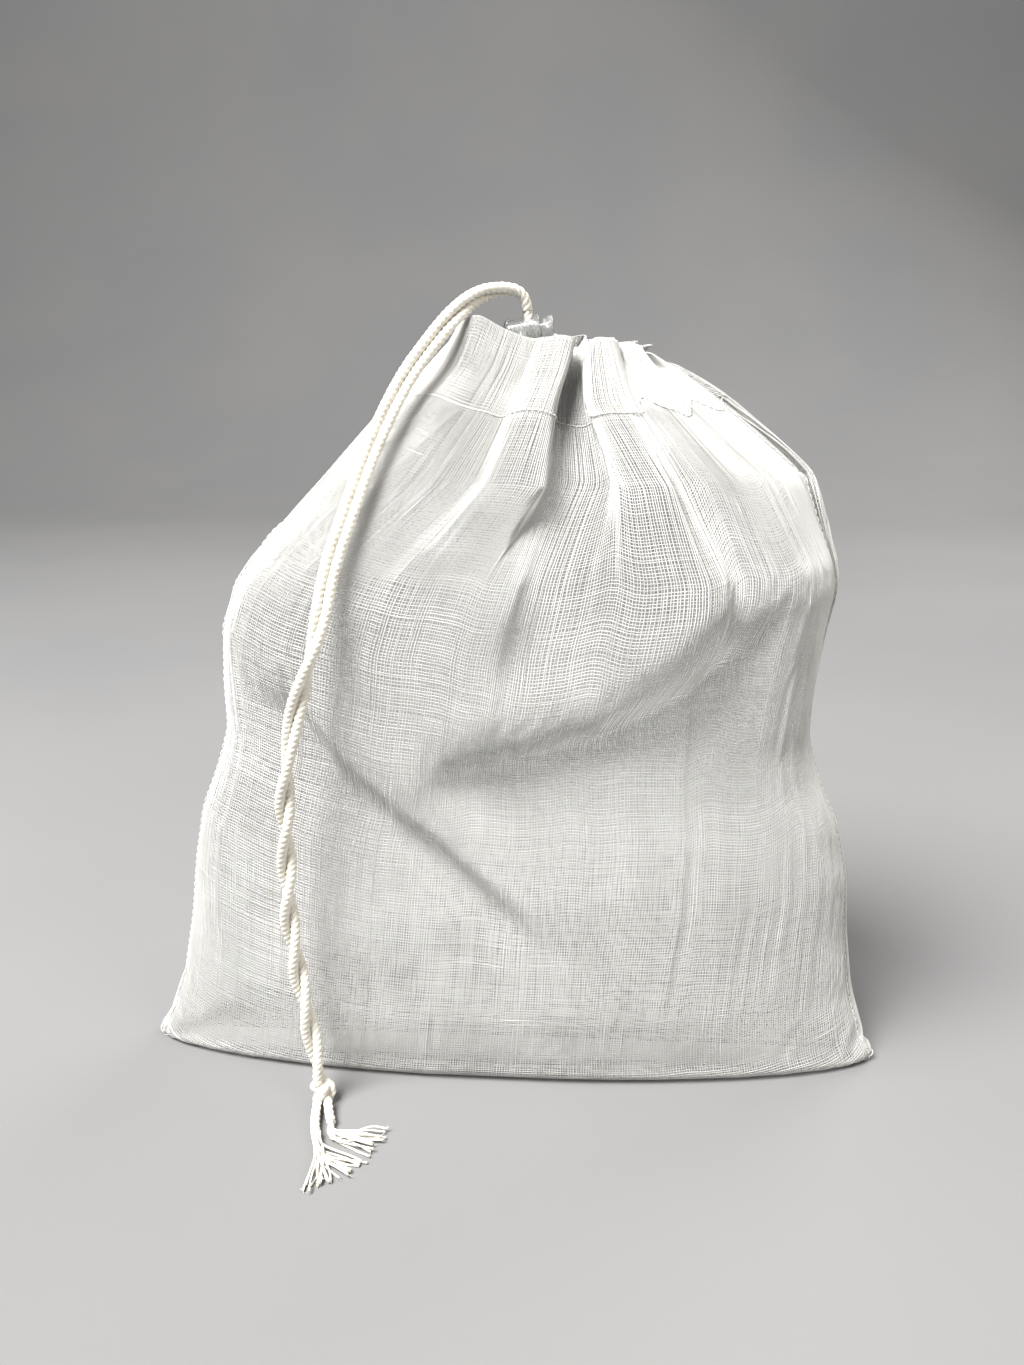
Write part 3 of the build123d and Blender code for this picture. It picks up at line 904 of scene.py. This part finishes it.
# The knot: an overhand knot in both cords at once
KNOT_CENTRE = np.array([-56.2, -46.5, 4.6])
t = np.linspace(0, 2 * math.pi, 90)
trefoil = np.stack([
    np.sin(t) + 2 * np.sin(2 * t), np.cos(t) - 2 * np.cos(2 * t), -1.3 * np.sin(3 * t)
], 1)
knot_line = KNOT_CENTRE + trefoil * np.array([0.95, 0.9, 1.35])
knot_core = KNOT_CENTRE + (knot_line - KNOT_CENTRE) * 0.45
knot_parts = [twisted_cord(knot_line, 1.5, turn=0.4), twisted_cord(knot_core, 1.5)]
knot = mesh_object("cord_knot", *joined(knot_parts), material=cord_material)
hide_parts("drawcord_knot")


HAIR_RADIUS = 0.07


def fray(name, roots, fans, node):
    """A cord's unravelled end: laid cord to the last root point, then fans of loose yarns, lying flat."""
    root = spline_line(roots)
    upward = np.array([0.0, 0.0, 1.0])
    parts = [twisted_cord(root, 1.45, lay=6.5)]
    heading = root[-1] - root[-4]
    heading /= np.linalg.norm(heading)
    for first, last, yarns in fans:
        for share in np.linspace(0, 1, yarns):
            tip = np.array(first) * (1 - share) + np.array(last) * share
            tip = np.append(tip, 0.5) + rng.normal(0, 1, 3) * np.array([0.7, 0.9, 0.0])
            tip[2] = rng.uniform(0.4, 1.6)
            start = root[-1] - heading * rng.uniform(0.5, 3) + rng.normal(0, 0.45, 3)
            reach = np.linalg.norm(tip - start)
            bend = start + heading * reach * rng.uniform(0.3, 0.5) + rng.normal(0, 0.5, 3)
            late = bend * 0.35 + tip * 0.65 + rng.normal(0, 0.4, 3)
            wavy = spline_line([start, bend, late, tip], 1.0)
            wavy[:, 2] = np.maximum(wavy[:, 2], 0.35)
            radius = np.full((1, len(wavy)), rng.uniform(0.24, 0.34))
            radius[0, -2:] *= 1.15
            parts.append(tube_arrays(wavy[None], np.tile(upward, (1, len(wavy), 1)), radius, 6))
            for _ in range(3):
                hair = wavy[-1] + rng.normal(0, 0.5, 3)
                hair[2] = abs(hair[2])
                hair_line = spline_line([wavy[-3], wavy[-1], hair], 0.5)
                across = np.tile(upward, (1, len(hair_line), 1))
                parts.append(tube_arrays(hair_line[None], across, HAIR_RADIUS, 3))
    piece = mesh_object(name, *joined(parts), material=fray_material)
    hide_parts(node)
    return piece


left_fray = fray(
    "left_frayed_end",
    [(-57.0, -49.0, 3.4), (-56.6, -54.0, 2.2), (-55.4, -60.0, 1.8), (-53.8, -65.0, 1.7)],
    [((-52.5, -84.0), (-45.5, -80.6), 15), ((-42.0, -78.0), (-38.6, -73.0), 11)],
    "left_tail",
)
right_fray = fray(
    "right_frayed_end",
    [(-53.9, -49.2, 3.4), (-52.6, -53.5, 2.4), (-51.0, -57.5, 1.8)],
    [((-33.8, -59.5), (-37.9, -69.5), 15)],
    "right_tail",
)
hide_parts("drawcord")


# ---------------------------------------------------------------- cord lock
def clear_plastic():
    material, nodes, links, shader = new_material("clear_plastic")
    shader.inputs["Transmission Weight"].default_value = 0.92
    shader.inputs["IOR"].default_value = 1.46
    clouds = noise_node(nodes, links, 350.0)
    ramp = ramp_between(nodes, links, clouds.outputs["Fac"], (0.86, 0.88, 0.88), (0.96, 0.96, 0.96))
    links.new(ramp.outputs["Color"], shader.inputs["Base Color"])
    rough = nodes.new("ShaderNodeMapRange")
    rough.inputs["To Min"].default_value = 0.04
    rough.inputs["To Max"].default_value = 0.16
    links.new(clouds.outputs["Fac"], rough.inputs["Value"])
    links.new(rough.outputs["Result"], shader.inputs["Roughness"])
    lumps = nodes.new("ShaderNodeBump")
    lumps.inputs["Strength"].default_value = 0.35
    lumps.inputs["Distance"].default_value = 0.0006
    links.new(clouds.outputs["Fac"], lumps.inputs["Height"])
    links.new(lumps.outputs["Normal"], shader.inputs["Normal"])
    return material


def steel():
    material, nodes, links, shader = new_material("spring_steel")
    streaks = noise_node(nodes, links, 900.0)
    ramp = ramp_between(nodes, links, streaks.outputs["Fac"], (0.5, 0.5, 0.51), (0.68, 0.68, 0.69))
    links.new(ramp.outputs["Color"], shader.inputs["Base Color"])
    shader.inputs["Metallic"].default_value = 1.0
    shader.inputs["Roughness"].default_value = 0.3
    return material


plastic, spring_metal = clear_plastic(), steel()
for node, material in (("lock_body", plastic), ("lock_button", plastic), ("lock_spring", spring_metal)):
    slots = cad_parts[node].material_slots
    if not slots:
        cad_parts[node].data.materials.append(material)
    for slot in slots:
        slot.material = material


# ---------------------------------------------------------------- floor and light
def floor():
    """A plain sheet that runs back and sweeps up behind the object."""
    material, nodes, links, shader = new_material("floor")
    grain = noise_node(nodes, links, 3.0)
    ramp = ramp_between(nodes, links, grain.outputs["Fac"], (0.18, 0.18, 0.184), (0.193, 0.193, 0.193))
    links.new(ramp.outputs["Color"], shader.inputs["Base Color"])
    shader.inputs["Roughness"].default_value = 0.85
    half, back, sweep = 3.0, 1.3, 0.8
    turn = np.linspace(0, math.pi / 2, 17)
    profile = [(-3.0, 0.0)] + [(back + sweep * math.sin(a), sweep * (1 - math.cos(a))) for a in turn]
    profile.append((back + sweep, 3.5))
    points = [(x, y, z) for y, z in profile for x in (-half, half)]
    faces = [(2 * k, 2 * k + 1, 2 * k + 3, 2 * k + 2) for k in range(len(profile) - 1)]
    mesh = bpy.data.meshes.new("floor")
    mesh.from_pydata(points, [], faces)
    mesh.shade_smooth()
    mesh.materials.append(material)
    obj = bpy.data.objects.new("floor", mesh)
    bpy.context.scene.collection.objects.link(obj)


def area_light(name, place, target, size, power, colour):
    data = bpy.data.lights.new(name, "AREA")
    data.shape = "DISK"
    data.size = size
    data.energy = power
    data.color = colour
    obj = bpy.data.objects.new(name, data)
    obj.location = place
    direction = np.array(target) - np.array(place)
    obj.rotation_euler = Vector(direction).to_track_quat("-Z", "Y").to_euler()
    bpy.context.scene.collection.objects.link(obj)


floor()
area_light("key", (-0.8, -0.8, 1.8), (0, 0, 0.1), 1.1, 136.0, (1.0, 0.99, 0.97))
area_light("fill", (1.3, -1.0, 0.9), (0, 0, 0.1), 1.0, 14.0, (1.0, 0.95, 0.88))
area_light("back", (0.9, 1.3, 1.3), (0, 0, 0.1), 1.2, 26.0, (1.0, 0.98, 0.95))
world = bpy.data.worlds.new("studio")
world.use_nodes = True
world.node_tree.nodes["Background"].inputs["Color"].default_value = (0.93, 0.95, 1.0, 1)
world.node_tree.nodes["Background"].inputs["Strength"].default_value = 0.120
bpy.context.scene.world = world
bpy.context.scene.view_settings.view_transform = "Standard"  # the default one washes out the weave
